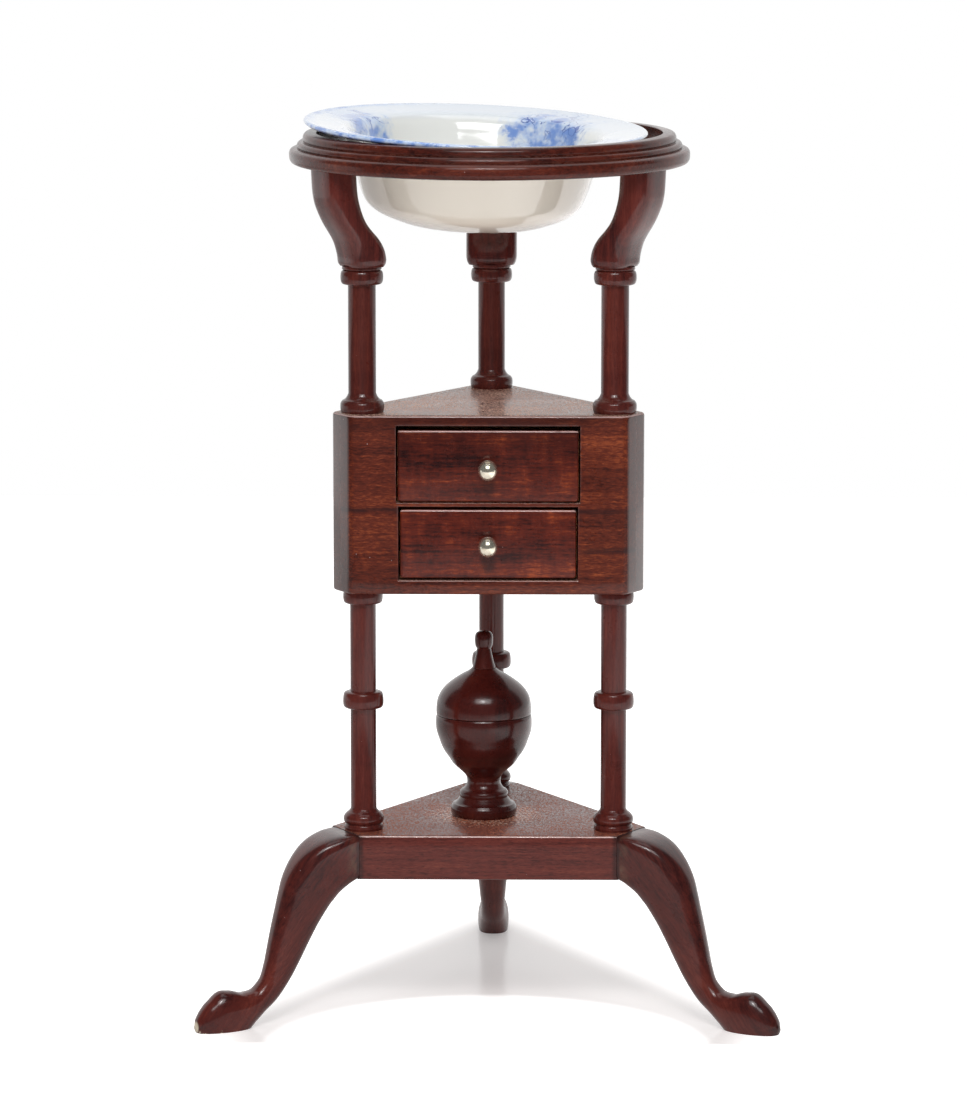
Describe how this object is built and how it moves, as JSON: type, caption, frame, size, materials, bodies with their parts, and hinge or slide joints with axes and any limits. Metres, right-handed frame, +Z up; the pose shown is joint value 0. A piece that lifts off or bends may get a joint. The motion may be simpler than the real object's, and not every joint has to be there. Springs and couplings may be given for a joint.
{
  "type": "tripod washstand",
  "caption": "Mahogany tripod washstand with cabriole legs, a lidded soap urn, a triangular drawer case and a porcelain basin in a moulded ring.",
  "frame": {"origin": "on the floor, under the middle of the stand's outline", "axes": "+Z up, -Y towards the front with the drawers, +X to the right of someone who stands in front"},
  "size_m": [0.511, 0.4697, 0.7924],
  "materials": {
    "mahogany": "polished",
    "case_mahogany": "polished",
    "inner_wood": "bare",
    "porcelain": "glazed",
    "nickel": "nickel plated, polished"
  },
  "bodies": {
    "stand": {"platform": "mahogany", "leg_left": "mahogany", "leg_right": "mahogany", "leg_back": "mahogany", "lower_column_left": "mahogany", "lower_column_right": "mahogany", "lower_column_back": "mahogany", "upper_column_left": "mahogany", "upper_column_right": "mahogany", "upper_column_back": "mahogany", "bracket_left": "mahogany", "bracket_right": "mahogany", "bracket_back": "mahogany", "top_ring": "mahogany", "case_front": "case_mahogany", "case_side_left": "case_mahogany", "case_side_right": "case_mahogany", "case_top": "case_mahogany", "case_bottom": "case_mahogany", "corner_block_left": "inner_wood", "corner_block_right": "inner_wood", "corner_block_back": "inner_wood", "dust_board": "inner_wood", "lower_guide_left": "inner_wood", "lower_guide_right": "inner_wood", "lower_stop": "inner_wood", "upper_guide_left": "inner_wood", "upper_guide_right": "inner_wood", "upper_stop": "inner_wood", "urn_body": "mahogany"},
    "lower_drawer": {"lower_drawer_front": "case_mahogany", "lower_drawer_side_left": "inner_wood", "lower_drawer_side_right": "inner_wood", "lower_drawer_back": "inner_wood", "lower_drawer_bottom": "inner_wood", "lower_knob": "nickel", "lower_knob_nut": "nickel"},
    "upper_drawer": {"upper_drawer_front": "case_mahogany", "upper_drawer_side_left": "inner_wood", "upper_drawer_side_right": "inner_wood", "upper_drawer_back": "inner_wood", "upper_drawer_bottom": "inner_wood", "upper_knob": "nickel", "upper_knob_nut": "nickel"},
    "urn_cover": {"urn_lid": "mahogany", "urn_finial": "mahogany"},
    "wash_basin": {"basin": "porcelain"}
  },
  "joints": [
    {"name": "lower_drawer_slide", "type": "slide", "parent": "stand", "child": "lower_drawer", "axis": [0, -1, 0], "range_m": [0, 0.07]},
    {"name": "upper_drawer_slide", "type": "slide", "parent": "stand", "child": "upper_drawer", "axis": [0, -1, 0], "range_m": [0, 0.07]},
    {"name": "urn_lid_lift", "type": "slide", "parent": "stand", "child": "urn_cover", "axis": [0, 0, 1], "range_m": [0, 0.04]},
    {"name": "basin_lift", "type": "slide", "parent": "stand", "child": "wash_basin", "axis": [0, 0, 1], "range_m": [0, 0.12]}
  ]
}
